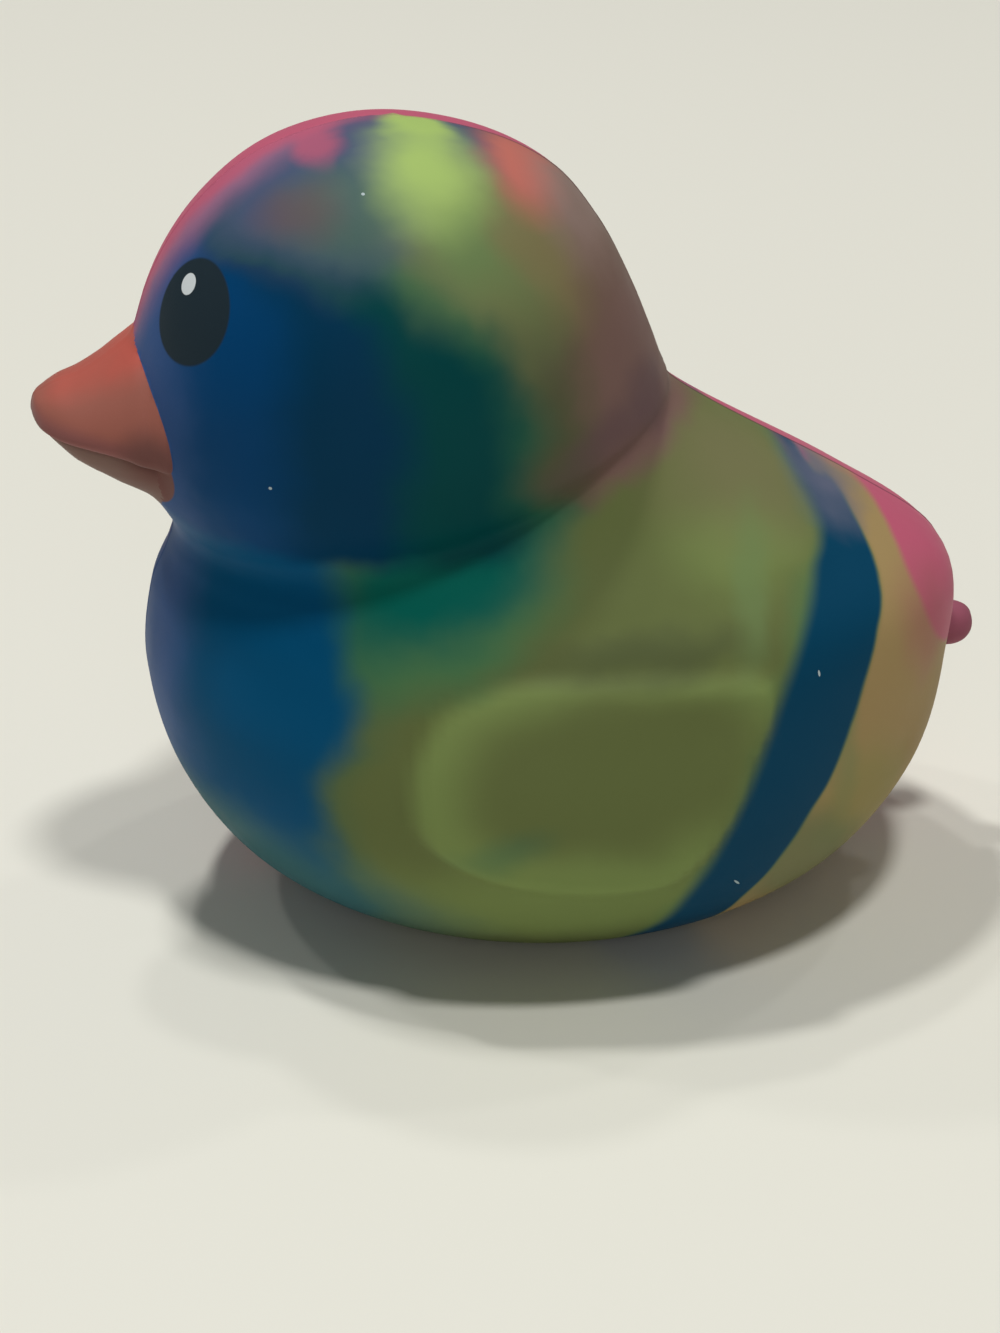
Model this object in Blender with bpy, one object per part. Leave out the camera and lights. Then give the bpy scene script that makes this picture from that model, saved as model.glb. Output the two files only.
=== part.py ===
"""A stretchy rubber duck, moulded in one piece and filled with air.

The skin is closed all round, so the duck is one solid. The body and head are one loft of tilted rings
from a flat spot under the belly to the crown, with a wing pad raised from each side. The beak is a second
loft, of bill sections from its tip back into the face. A small knob sticks out at the tail.

The beak points to -Y, the duck's left side is at +X and +Z is up. The origin is the middle of the flat spot.
"""
import math

import bmesh
import bpy

# Body, from the flat spot to the neck
BODY_LENGTH = 0.113          # breast to tail, without the knob
BODY_WIDTH = 0.090           # across the belly, without the wing relief
NECK_HEIGHT = 0.056          # floor to the chin crease

# Head
HEAD_LENGTH = 0.069          # face to the back of the head
HEAD_WIDTH = 0.068
HEAD_HEIGHT = 0.0523         # chin crease to crown
HEAD_FORWARD = 0.0232        # middle of the head in front of the origin

# Beak
BEAK_LENGTH = 0.0150         # from the face to the tip
BEAK_WIDTH = 0.034           # across the root
BEAK_DEPTH = 0.0208          # top to bottom at the root
MOUTH_HEIGHT = 0.0122        # line of the mouth above the chin crease
BEAK_INSET = 0.0022          # from the face back to the bill's root section
BEAK_SINK = 0.0110           # how far the loft runs back inside the head

# Wing pads
WING_LENGTH = 0.050
WING_DEPTH = 0.032
WING_BACK = -0.0025          # middle of the pad behind the origin
WING_HEIGHT = 0.0320         # middle of the pad above the floor
WING_RELIEF = 0.0016         # how far the rim stands out
WING_DISH = 0.0009           # how far the middle sinks again
WING_EDGE = 0.0035           # width of the soft step round the pad
WING_RIM = 0.0100            # width of the slope from the rim to the middle

# Tail knob
KNOB_RADIUS = 0.0033
KNOB_REACH = 0.0065          # from the tail's skin to the end of the knob
KNOB_HEIGHT = 0.0326
KNOB_SINK = 0.0060           # how far its stem runs back inside the tail

# How finely the lofts are divided
RINGS_PER_STATION = 4
RING_POINTS = 80
BILL_ROWS_PER_STATION = 2
KNOB_POINTS = 20

SKIN_COLOUR = (0.07, 0.13, 0.10, 1.0)
SKIN_ROUGHNESS = 0.4

# Rings of the body: front (y, z), rear (y, z), half width, droop at the sides.
# Shares of the body's length, of the neck's height and of the body's half width.
BODY_SHARES = (
    ((0.000, 0.000), (0.000, 0.000), 0.000, 0.000),
    ((-0.217, 0.000), (0.217, 0.000), 0.444, 0.000),
    ((-0.319, 0.036), (0.297, 0.032), 0.656, 0.000),
    ((-0.423, 0.184), (0.396, 0.170), 0.871, 0.000),
    ((-0.488, 0.393), (0.464, 0.375), 0.982, 0.000),
    ((-0.513, 0.625), (0.487, 0.607), 1.000, 0.000),
    ((-0.502, 0.821), (0.483, 0.839), 0.922, 0.000),
    ((-0.479, 0.929), (0.366, 1.015), 0.811, 0.027),
)

# Rings of the head, from the neck crease to the crown.
# Shares of the head's length and height, measured from its middle and the crease, and of its half width.
HEAD_SHARES = (
    ((-0.433, 0.000), (0.583, 0.277), 0.882, 0.064),
    ((-0.462, 0.067), (0.536, 0.354), 0.941, 0.073),
    ((-0.500, 0.210), (0.500, 0.468), 1.000, 0.034),
    ((-0.497, 0.421), (0.459, 0.593), 1.000, 0.000),
    ((-0.442, 0.641), (0.399, 0.736), 0.912, 0.000),
    ((-0.348, 0.813), (0.310, 0.872), 0.735, 0.000),
    ((-0.217, 0.937), (0.170, 0.960), 0.456, 0.000),
    ((-0.026, 1.000), (-0.026, 1.000), 0.000, 0.000),
)

# Sections of the bill from its tip: distance from the face, half width, top, mouth and bottom.
# Shares of the beak's length, of its half width and of its depth above or below the mouth.
BILL_SHARES = (
    (1.000, 0.000, 0.180, 0.180, 0.180),
    (0.970, 0.200, 0.270, 0.155, 0.145),
    (0.900, 0.376, 0.305, 0.125, 0.105),
    (0.767, 0.541, 0.355, 0.100, 0.000),
    (0.600, 0.694, 0.390, 0.090, -0.115),
    (0.400, 0.818, 0.470, 0.075, -0.200),
    (0.200, 0.918, 0.575, 0.050, -0.285),
    (0.000, 1.000, 0.665, 0.010, -0.340),
    (-0.300, 1.000, 0.690, 0.000, -0.360),
    (None, 0.000, 0.150, 0.150, 0.150),
)

# Half of one bill section, from its top down: shares of the half width, and of the height over or under
# the mouth. The upper bill's lip stands out over the groove of the mouth.
BILL_OUTLINE_SHARES = (
    (0.00, 1.00), (0.26, 0.98), (0.50, 0.91), (0.70, 0.79), (0.86, 0.60), (0.96, 0.38), (1.00, 0.18),
    (0.985, 0.05), (0.92, -0.01), (0.80, -0.03), (0.81, -0.20), (0.79, -0.40), (0.72, -0.62),
    (0.60, -0.80), (0.42, -0.93), (0.20, -0.99), (0.00, -1.00),
)

# Reach of a wing pad from its middle at each angle, 0 to the rear and 90 up,
# in shares of half its length and half its depth. The upper rear corner is its tip.
WING_SHARES = (
    (0, 0.80), (10, 0.88), (21, 1.10), (29, 1.25), (40, 1.15), (52, 1.07), (87, 1.00), (124, 1.09),
    (138, 1.12), (150, 1.11), (162, 1.03), (176, 0.98), (198, 0.99), (212, 0.98), (228, 0.96), (252, 0.95),
    (288, 0.99), (306, 1.00), (324, 0.89), (341, 0.80),
)

# The knob's outline: distance along it from the root of its stem, and its radius, in shares
KNOB_SHARES = (
    (0.00, 0.00), (0.03, 0.72), (0.46, 0.80), (0.58, 0.93), (0.72, 1.00), (0.86, 0.87), (0.96, 0.52),
    (1.00, 0.00),
)


def blend(before, start, end, after, share):
    """A smooth value between start and end, led by the values on either side (Catmull-Rom)."""
    return 0.5 * (
        2 * start
        + (end - before) * share
        + (2 * before - 5 * start + 4 * end - after) * share ** 2
        + (3 * start - before - 3 * end + after) * share ** 3
    )


def smooth_step(share):
    """0 below 0, 1 above 1 and a soft rise between."""
    share = min(max(share, 0.0), 1.0)
    return share * share * (3 - 2 * share)


def along(stations, place):
    """The station at a place between 0 and 1 along a padded list, whose first and last rows only lead."""
    spans = len(stations) - 3
    position = place * spans
    first = min(int(position), spans - 1)
    rows = zip(*stations[first:first + 4])
    return [blend(*values, position - first) for values in rows]


def body_stations():
    """The duck's rings in metres, padded with the mirror image of the rings next to each pole."""
    rings = []
    for (front, front_rise), (rear, rear_rise), half_width, droop in BODY_SHARES:
        rings.append((
            front * BODY_LENGTH, front_rise * NECK_HEIGHT, rear * BODY_LENGTH, rear_rise * NECK_HEIGHT,
            half_width * BODY_WIDTH / 2, droop * NECK_HEIGHT,
        ))
    for (front, front_rise), (rear, rear_rise), half_width, droop in HEAD_SHARES:
        rings.append((
            front * HEAD_LENGTH - HEAD_FORWARD, NECK_HEIGHT + front_rise * HEAD_HEIGHT,
            rear * HEAD_LENGTH - HEAD_FORWARD, NECK_HEIGHT + rear_rise * HEAD_HEIGHT,
            half_width * HEAD_WIDTH / 2, droop * HEAD_HEIGHT,
        ))
    return [mirrored(rings[1])] + rings + [mirrored(rings[-2])]


def mirrored(ring):
    """The ring as it runs on past a pole, with front and rear changed over."""
    front, front_rise, rear, rear_rise, half_width, droop = ring
    return rear, rear_rise, front, front_rise, -half_width, droop


def wing_reach(angle):
    """Share of the wing pad's half size that its outline reaches at an angle in degrees."""
    count = len(WING_SHARES)
    for index, (start, _) in enumerate(WING_SHARES):
        end = WING_SHARES[(index + 1) % count][0] or 360
        if start <= angle <= end:
            leads = [WING_SHARES[(index + step) % count][1] for step in (-1, 0, 1, 2)]
            return blend(*leads, (angle - start) / (end - start))
    raise ValueError(f"no wing outline at {angle} degrees")


def wing_relief(y, z):
    """How far the skin stands out at a place on the duck's side: a raised rim round a dished middle."""
    back, up = y - WING_BACK, z - WING_HEIGHT
    angle = math.degrees(math.atan2(up, back)) % 360
    turn = math.radians(angle)
    half_size = 1 / math.hypot(math.cos(turn) / (WING_LENGTH / 2), math.sin(turn) / (WING_DEPTH / 2))
    inside = wing_reach(angle) * half_size - math.hypot(back, up)
    rim = WING_RELIEF * smooth_step(inside / WING_EDGE)
    return rim - WING_DISH * smooth_step((inside - WING_EDGE) / WING_RIM)


def body_point(stations, place, turn):
    """A point of the skin: place 0 is the middle of the flat spot and 1 the crown, turn 0 is the front."""
    front, front_rise, rear, rear_rise, half_width, droop = along(stations, place)
    forward, side = math.cos(turn), math.sin(turn)
    y = (front + rear) / 2 + (front - rear) / 2 * forward
    z = (front_rise + rear_rise) / 2 + (front_rise - rear_rise) / 2 * forward - droop * side ** 2
    return half_width * side + math.copysign(wing_relief(y, z), side), y, max(z, 0.0)


def bill_stations():
    """The bill's sections in metres, padded at both ends."""
    mouth_level = NECK_HEIGHT + MOUTH_HEIGHT
    root = where_it_crosses(front_outline(), mouth_level) + BEAK_INSET
    sections = []
    for share, half_width, top, mouth, bottom in BILL_SHARES:
        reach = -BEAK_SINK if share is None else share * BEAK_LENGTH
        levels = [mouth_level + level * BEAK_DEPTH for level in (top, mouth, bottom)]
        sections.append((root - reach, half_width * BEAK_WIDTH / 2, *levels))
    tip, behind = sections[0], sections[1]
    over_tip = (behind[0], -behind[1], *behind[:1:-1])
    return [over_tip] + sections + [sections[-1]]


def front_outline():
    """The rings' front ends, as places along Y and heights."""
    return [(front, rise) for front, rise, _, _, _, _ in body_stations()[1:-1]]


def rear_outline():
    """The rings' rear ends, as places along Y and heights."""
    return [(rear, rise) for _, _, rear, rise, _, _ in body_stations()[1:-1]]


def where_it_crosses(outline, height):
    """Where an outline crosses a height, on a straight line between two of its points."""
    for (y, low), (next_y, high) in zip(outline, outline[1:]):
        if low <= height < high:
            return y + (next_y - y) * (height - low) / (high - low)
    raise ValueError(f"no skin at a height of {height}")


def bill_point(stations, place, index):
    """A point of the bill: place 0 is the tip, index counts round the section from its top."""
    y, half_width, top, mouth, bottom = along(stations, place)
    last = len(BILL_OUTLINE_SHARES) - 1
    side = 1 if index <= last else -1
    across, level = BILL_OUTLINE_SHARES[index if index <= last else 2 * last - index]
    height = (top - mouth) if level > 0 else (mouth - bottom)
    return side * across * half_width, y, mouth + level * height


def knob_point(place, turn):
    """A point of the tail knob, which is turned about a line along Y."""
    outline = [(-KNOB_SHARES[1][0], -KNOB_SHARES[1][1])] + list(KNOB_SHARES)
    outline.append((2 - KNOB_SHARES[-2][0], -KNOB_SHARES[-2][1]))
    distance, radius = along(outline, place)
    y = where_it_crosses(rear_outline(), KNOB_HEIGHT) - KNOB_SINK + distance * (KNOB_SINK + KNOB_REACH)
    return radius * KNOB_RADIUS * math.cos(turn), y, KNOB_HEIGHT + radius * KNOB_RADIUS * math.sin(turn)


def shaped_ball(name, around, rows, point):
    """A sphere whose rings of vertices are moved by point(place, index round the ring)."""
    shape = bmesh.new()
    bmesh.ops.create_uvsphere(shape, u_segments=around, v_segments=rows, radius=1.0)
    for vertex in shape.verts:
        x, y, z = vertex.co
        row = round(math.acos(max(-1.0, min(1.0, -z))) / math.pi * rows)
        index = round(math.atan2(y, x) / math.tau * around) % around
        vertex.co = point(row / rows, index)
    bmesh.ops.recalc_face_normals(shape, faces=shape.faces)
    mesh = bpy.data.meshes.new(name)
    shape.to_mesh(mesh)
    shape.free()
    mesh.shade_smooth()
    return bpy.data.objects.new(name, mesh)


def rubber_skin():
    """The material of the moulded skin."""
    material = bpy.data.materials.new("stretch rubber")
    material.use_nodes = True
    shader = material.node_tree.nodes["Principled BSDF"]
    shader.inputs["Base Color"].default_value = SKIN_COLOUR
    shader.inputs["Roughness"].default_value = SKIN_ROUGHNESS
    shader.inputs["Metallic"].default_value = 0.0
    return material


def collection(name):
    """A new collection in the scene."""
    group = bpy.data.collections.new(name)
    bpy.context.scene.collection.children.link(group)
    return group


def join(target, piece):
    """Unite a guide piece with the target by a Boolean."""
    piece.hide_render = True
    piece.display_type = "WIRE"
    union = target.modifiers.new(f"join {piece.name}", "BOOLEAN")
    union.operation = "UNION"
    union.solver = "EXACT"
    union.object = piece


def main():
    for leftover in list(bpy.data.objects):
        bpy.data.objects.remove(leftover, do_unlink=True)
    parts = collection("rubber duck")
    guides = collection("joined shapes")

    rings = body_stations()
    duck = shaped_ball(
        "duck", RING_POINTS, (len(rings) - 3) * RINGS_PER_STATION,
        lambda place, index: body_point(rings, place, index / RING_POINTS * math.tau),
    )
    duck.data.materials.append(rubber_skin())
    parts.objects.link(duck)

    sections = bill_stations()
    bill = shaped_ball(
        "bill", 2 * len(BILL_OUTLINE_SHARES) - 2, (len(sections) - 3) * BILL_ROWS_PER_STATION,
        lambda place, index: bill_point(sections, place, index),
    )
    knob = shaped_ball(
        "tail knob", KNOB_POINTS, 2 * (len(KNOB_SHARES) - 1),
        lambda place, index: knob_point(place, index / KNOB_POINTS * math.tau),
    )
    for piece in (bill, knob):
        guides.objects.link(piece)
        join(duck, piece)


main()
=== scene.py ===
"""Dresses the rubber duck: a tie-dyed stretch rubber skin with a painted bill and printed eyes.

The duck is lofted again from the part's own rings, finely enough for smooth highlights, and stands for the
CAD node. Its colours are dye splashes placed in the object's own coordinates, in metres; a few of them
are painted shade, painted highlight and painted sheen.
"""

import math

import bmesh
import bpy
from bpy.props import FloatProperty, FloatVectorProperty, IntProperty, PointerProperty
from mathutils import Matrix, Quaternion, Vector


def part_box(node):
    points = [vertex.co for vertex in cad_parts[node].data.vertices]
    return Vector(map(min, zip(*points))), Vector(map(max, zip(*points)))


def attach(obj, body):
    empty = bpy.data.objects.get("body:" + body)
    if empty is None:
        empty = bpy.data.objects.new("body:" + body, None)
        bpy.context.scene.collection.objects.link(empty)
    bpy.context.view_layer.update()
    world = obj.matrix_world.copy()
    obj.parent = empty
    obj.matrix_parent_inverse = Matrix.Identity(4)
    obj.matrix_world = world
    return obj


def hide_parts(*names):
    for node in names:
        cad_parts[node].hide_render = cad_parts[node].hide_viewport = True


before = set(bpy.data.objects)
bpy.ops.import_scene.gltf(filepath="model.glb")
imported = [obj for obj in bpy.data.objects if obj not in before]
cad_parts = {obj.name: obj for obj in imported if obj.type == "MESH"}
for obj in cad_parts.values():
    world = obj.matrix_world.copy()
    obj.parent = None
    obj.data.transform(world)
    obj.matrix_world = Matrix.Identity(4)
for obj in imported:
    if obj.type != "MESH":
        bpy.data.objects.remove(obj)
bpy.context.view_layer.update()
CROWN_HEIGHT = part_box("duck")[1][2]

bl_info = {
    "name": "Tie-dye rubber duck",
    "version": (1, 0, 0),
    "blender": (4, 5, 0),
    "location": "View3D > Sidebar > Duck",
    "description": "Builds a stretchy tie-dyed rubber duck around its packed solid",
    "category": "Object",
}

MM = 0.001
# Mask of the wings' rims, which places their painted highlight
RIM_HIGHLIGHT_ATTRIBUTE = "wing rim"

# The chin crease above the floor in metres
NECK_HEIGHT = 0.056

# Rings of the body: front (y, z), rear (y, z), half width, droop at the sides.
# Shares of the body's length, of the neck's height and of the body's half width.
BODY_SHARES = (
    ((0.000, 0.000), (0.000, 0.000), 0.000, 0.000),
    ((-0.217, 0.000), (0.217, 0.000), 0.444, 0.000),
    ((-0.319, 0.036), (0.297, 0.032), 0.656, 0.000),
    ((-0.423, 0.184), (0.396, 0.170), 0.871, 0.000),
    ((-0.488, 0.393), (0.464, 0.375), 0.982, 0.000),
    ((-0.513, 0.625), (0.487, 0.607), 1.000, 0.000),
    ((-0.502, 0.821), (0.483, 0.839), 0.922, 0.000),
    ((-0.479, 0.929), (0.366, 1.015), 0.811, 0.027),
)

# Rings of the head, from the neck crease to the crown.
# Shares of the head's length and height, measured from its middle and the crease, and of its half width.
HEAD_SHARES = (
    ((-0.433, 0.000), (0.583, 0.277), 0.882, 0.064),
    ((-0.462, 0.067), (0.536, 0.354), 0.941, 0.073),
    ((-0.500, 0.210), (0.500, 0.468), 1.000, 0.034),
    ((-0.497, 0.421), (0.459, 0.593), 1.000, 0.000),
    ((-0.442, 0.641), (0.399, 0.736), 0.912, 0.000),
    ((-0.348, 0.813), (0.310, 0.872), 0.735, 0.000),
    ((-0.217, 0.937), (0.170, 0.960), 0.456, 0.000),
    ((-0.026, 1.000), (-0.026, 1.000), 0.000, 0.000),
)

# Sections of the bill from its tip: distance from the face, half width, top, mouth and bottom.
# Shares of the beak's length, of its half width and of its depth above or below the mouth.
BILL_SHARES = (
    (1.000, 0.000, 0.180, 0.180, 0.180),
    (0.970, 0.200, 0.270, 0.155, 0.145),
    (0.900, 0.376, 0.305, 0.125, 0.105),
    (0.767, 0.541, 0.355, 0.100, 0.000),
    (0.600, 0.694, 0.390, 0.090, -0.115),
    (0.400, 0.818, 0.470, 0.075, -0.200),
    (0.200, 0.918, 0.575, 0.050, -0.285),
    (0.000, 1.000, 0.665, 0.010, -0.340),
    (-0.300, 1.000, 0.690, 0.000, -0.360),
    (None, 0.000, 0.150, 0.150, 0.150),
)

# Half of one bill section, from its top down: shares of the half width, and of the height over or under
# the mouth. The upper bill's lip stands out over the groove of the mouth.
BILL_OUTLINE_SHARES = (
    (0.00, 1.00), (0.26, 0.98), (0.50, 0.91), (0.70, 0.79), (0.86, 0.60), (0.96, 0.38), (1.00, 0.18),
    (0.985, 0.05), (0.92, -0.01), (0.80, -0.03), (0.81, -0.20), (0.79, -0.40), (0.72, -0.62),
    (0.60, -0.80), (0.42, -0.93), (0.20, -0.99), (0.00, -1.00),
)

# Reach of a wing pad from its middle at each angle, 0 to the rear and 90 up,
# in shares of half its length and half its depth. The upper rear corner is its tip.
WING_SHARES = (
    (0, 0.80), (10, 0.88), (21, 1.10), (29, 1.25), (40, 1.15), (52, 1.07), (87, 1.00), (124, 1.09),
    (138, 1.12), (150, 1.11), (162, 1.03), (176, 0.98), (198, 0.99), (212, 0.98), (228, 0.96), (252, 0.95),
    (288, 0.99), (306, 1.00), (324, 0.89), (341, 0.80),
)

# The knob's outline: distance along it from the root of its stem, and its radius, in shares
KNOB_SHARES = (
    (0.00, 0.00), (0.03, 0.72), (0.46, 0.80), (0.58, 0.93), (0.72, 1.00), (0.86, 0.87), (0.96, 0.52),
    (1.00, 0.00),
)

# Boundaries between dyes in millimetres on the duck's side: along a front each pair is (z, y), and along
# a level it is (y, z)
FRONTS = {
    "moss": ((56, -3), (62, -2), (66, -6), (70, -9), (74, -7), (78, -9), (82, -11.5), (86, -13),
             (90, -16), (93, -19), (97, -23), (100, -28), (104, -40)),
    "ocean": ((56, -9), (64, -9.5), (70, -10.5), (74, -11), (78, -11.5), (82, -13),
              (86, -17), (90, -21), (93, -25), (97, -32), (100, -42)),
    "deep": ((58, -24), (66, -24), (78, -24), (84, -26), (90, -29), (94, -36), (98, -48)),
    "blue": ((58, -38), (66, -38), (78, -39), (86, -39), (92, -41), (98, -50)),
    "violet": ((58, -51), (70, -51), (86, -51), (94, -49), (100, -47)),
    "band front": ((0, 0), (9, 7), (15, 10), (23, 13.5), (29, 16), (35, 18.5), (41, 21), (46, 23.5),
                   (50, 26), (54, 28.5), (56, 30.5), (58, 31), (62, 30)),
    "band rear": ((0, 14), (10, 18), (18, 23), (25, 26.5), (30, 29.5), (37, 32.5), (41, 34), (46, 36),
                  (51, 38), (54, 38), (57, 37), (59, 36), (61, 33)),
    "rump": ((36, 53), (41, 48), (46, 45), (50, 43.5), (53, 43), (56, 42), (60, 36), (63, 30)),
    "breast": ((0, -28), (14, -33.5), (20, -35.5), (27, -36), (33, -36.5), (38, -33), (43, -31.5),
               (48, -33.5), (54, -33), (64, -34)),
    "far band front": ((0, -20), (20, -8), (40, 2), (62, 8)),
    "far band rear": ((0, -2), (20, 8), (40, 15), (62, 19)),
}
LEVELS = {
    "crease": ((-54, 60.5), (-42, 59.8), (-32, 58.8), (-24, 59.3), (-15, 60.3), (-8, 62), (0, 64),
               (6, 66.5), (15, 70)),
    "brow": ((-56, 100), (-46, 98), (-41, 97), (-36, 96), (-31, 96), (-26, 97), (-20, 101), (-10, 106)),
    "lip": ((-71, 73.5), (-68, 72.6), (-63, 72.0), (-58, 71.4), (-53, 71.2)),
    "mouth": ((-71, 72.2), (-68, 70.3), (-63, 69.5), (-58, 68.7), (-53, 68.2)),
    "bill top": ((-71, 75.5), (-66, 75.5), (-62, 77.0), (-57, 79.0), (-53, 81.0)),
}

# The stretch of each axis, in millimetres, that the curves of the boundaries cover
SPANS = {"Y": (-80, 80), "Z": (0, 120)}

# Layers of dye, with some painted shade and highlight, from the first poured to the last, in millimetres
# and degrees:
# splash: dye, middle, reach, turn about X, softness, strength
# between: dye, front boundary and its softness, rear boundary and its softness, strength
# above or below: dye, level and its softness, strength
# rim: painted highlight along the raised rims of the wings, strength
BODY_LAYERS = (
    ("splash", "light_olive", (28, 20, 58), (10, 9, 5), 0, 0.7, 0.6),
    # Painted highlight along the near wing's raised rim
    ("rim", "light_olive", 0.95),
    ("splash", "olive", (46, 2, 37), (12, 18, 11), 0, 0.4, 1),
    ("splash", "light_olive", (40, -6, 15), (16, 26, 7), 0, 0.6, 0.7),
    ("splash", "pale", (15, 22, 66), (13, 14, 9), 0, 0.8, 0.7),
    # Painted shade in the groove over the wing's top edge
    ("splash", "shade", (42, 5, 49.5), (10, 13, 2.2), 0, 0.8, 0.6),
    ("splash", "fern", (35, -22, 51), (14, 16, 5), 25, 0.6, 0.9),
    ("splash", "lagoon", (31, -21, 58), (14, 17, 6.4), 25, 0.6, 1),
    ("splash", "lagoon", (44, -15, 26), (6, 5, 2.2), 10, 0.9, 0.28),
    ("between", "lagoon", None, 0, "breast", 7, 0.8),
    ("between", "breast", None, 0, "breast", 3.2, 1),
    # Painted sheen along the front edge of the breast, near side
    ("splash", "breast_violet", (4, -58, 42), (16, 8, 24), 0, 0.6, 1),
    ("splash", "sea", (22, -46, 13), (26, 26, 9), -10, 0.6, 0.9),
    ("between", "mustard", "band rear", 1, None, 0, 1),
    ("splash", "straw", (31, 36, 22), (14, 8, 10), 20, 0.5, 0.9),
    ("splash", "sage", (36, 28, 14), (20, 8, 12), 30, 0.5, 0.65),
    ("splash", "stripe", (36, 31, 34), (12, 2, 10), 10, 0.7, 0.5),
    ("between", "pink", "rump", 0.8, None, 0, 1),
    ("splash", "dusk", (22, 46, 44), (9, 5, 6), 0, 0.7, 0.5),
    ("splash", "soft_lime", (30, 19, 53), (12, 2.4, 10), -15, 0.7, 0.6),
    ("between", "fern", "band front", 4, "band rear", 0.5, 0.8),
    ("between", "band", "band front", 1.8, "band rear", 0.5, 1),
    ("splash", "band_top", (11, 37, 61.5), (13, 7, 5), 0, 0.6, 0.9),
)
HEAD_LAYERS = (
    ("splash", "mauve", (18, 10, 80), (16, 12, 20), -20, 0.5, 1),
    ("splash", "khaki", (26, -10, 93), (12, 8, 8), -10, 0.6, 1),
    ("splash", "bronze", (30, -7, 74), (12, 6, 16), 10, 0.7, 0.9),
    ("splash", "plum", (17, 9, 75), (8, 5, 3), -50, 0.6, 0.6),
    ("splash", "plum", (22, 3, 72), (12, 10, 3), 24, 0.8, 0.7),
    ("splash", "soft_lime", (29, -10, 88), (5, 5, 9), -25, 0.8, 0.35),
    ("between", "moss", None, 0, "moss", 4, 1),
    ("between", "ocean", None, 0, "ocean", 4.5, 1),
    ("between", "deep", None, 0, "deep", 4, 1),
    ("between", "blue", None, 0, "blue", 5, 1),
    ("between", "violet", None, 0, "violet", 4, 0.9),
    ("above", "slate", "brow", 5, 1),
    ("splash", "jade", (21, -30, 101), (9, 8, 5), 0, 0.6, 1),
    ("splash", "soft_lime", (24, -16, 98), (10, 8, 9), -20, 0.7, 1),
    ("splash", "khaki", (22, -8, 99), (9, 5, 6), 20, 0.6, 0.8),
    ("splash", "lime", (15, -19.5, 104), (11, 5.5, 6), 0, 0.8, 1),
    ("splash", "lime", (3, -19.5, 108), (8, 3.4, 5), 0, 0.5, 1),
    ("splash", "rose", (9, -7, 104), (12, 5.5, 4.5), -30, 0.6, 1),
    ("splash", "dusty", (10, 0, 99), (12, 7, 6), -45, 0.6, 0.8),
    ("splash", "plum", (19, -36, 101), (6, 5, 3), 0, 0.7, 0.6),
    ("splash", "lilac", (0, -49, 100), (9, 21, 18), 0, 0.5, 1),
    ("splash", "pink", (6, -31, 107), (8, 2.4, 4), -30, 0.6, 0.7),
    ("splash", "pink", (0, -49, 100), (4.5, 23, 20), 0, 0.5, 0.85),
)
FAR_BODY_LAYERS = (
    ("splash", "rose", (-34, 20, 44), (26, 22, 14), 20, 0.5, 0.8),
    ("splash", "mustard", (-26, 42, 26), (22, 12, 18), 20, 0.4, 1),
    ("splash", "stripe", (-36, 26, 14), (16, 14, 9), 20, 0.5, 0.9),
    ("splash", "olive", (-44, -8, 26), (16, 24, 18), 10, 0.5, 1),
    # Painted highlight along the far wing's raised rim
    ("rim", "light_olive", 0.6),
    ("splash", "fern", (-36, -14, 52), (14, 14, 7), 20, 0.6, 0.9),
    ("between", "fern", "far band front", 5, "far band rear", 2, 0.7),
    ("between", "band", "far band front", 2, "far band rear", 0.8, 1),
    ("splash", "pink", (-14, 20, 64), (16, 30, 9), 0, 0.5, 1),
    ("splash", "lagoon", (-36, -30, 42), (16, 10, 20), 20, 0.6, 1),
    ("splash", "breast", (-20, -50, 30), (24, 17, 30), 0, 0.4, 1),
    # Painted sheen along the front edge of the breast, far side
    ("splash", "breast_violet", (-4, -58, 42), (14, 8, 24), 0, 0.6, 1),
)
FAR_HEAD_LAYERS = (
    ("splash", "rose", (-22, -4, 94), (16, 16, 12), 20, 0.6, 1),
    ("splash", "soft_lime", (-30, -2, 78), (14, 12, 12), 20, 0.5, 1),
    ("splash", "moss", (-32, -12, 72), (12, 12, 14), 0, 0.6, 0.9),
    ("splash", "blue", (-28, -36, 68), (18, 18, 14), 20, 0.5, 1),
    ("splash", "violet", (-22, -46, 76), (16, 12, 14), 0, 0.6, 1),
    ("splash", "lilac", (-16, -44, 92), (12, 10, 10), 0, 0.6, 0.8),
)
BILL_LAYERS = (
    ("above", "bill_red", "bill top", 2.0, 1),
    # Painted shade on the lip's lower rim, over the mouth
    ("below", "bill_lip", "lip", 1.2, 1),
    # Paint under the mouth, darkened by painted shade where the lower bill faces down
    ("below", "bill_under", "mouth", 0.6, 1),
    # Painted shade in the corner of the mouth
    ("splash", "bill_corner", (17, -55, 69), (8, 4, 4), 0, 0.6, 0.9),
)

# Lamps: degrees round from the beak and above the floor, share of the floor's light, diameter in metres
LAMPS = (
    ("lamp over the near side", 112, 78, 0.395, 0.62),
    ("lamp over the far side", 316, 74, 0.34, 0.44),
    ("lamp behind", 288, 66, 0.09, 0.27),
    ("low lamp in front", 326, 51, 0.05, 0.27),
    ("low lamp behind the tail", 216, 56, 0.04, 0.27),
    ("pale wall beside the camera", 80, 18, 0.056, 4.30),
)
LAMP_AIM = (0.0, 0.0, 0.04)
ROOM_COLOUR = (0.98, 1.0, 0.97, 1)
FLOOR_ROUGHNESS = 0.6

# The camera's long side and its nearest distance, in millimetres
SENSOR = 36
NEAREST = 10

# Flash nubs on the seam, in millimetres: forehead, crown and tip of the bill
NUBS = ((0, -53.4, 92.6), (0, -22.0, 108.3), (0, -70.4, 74.2))

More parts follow.
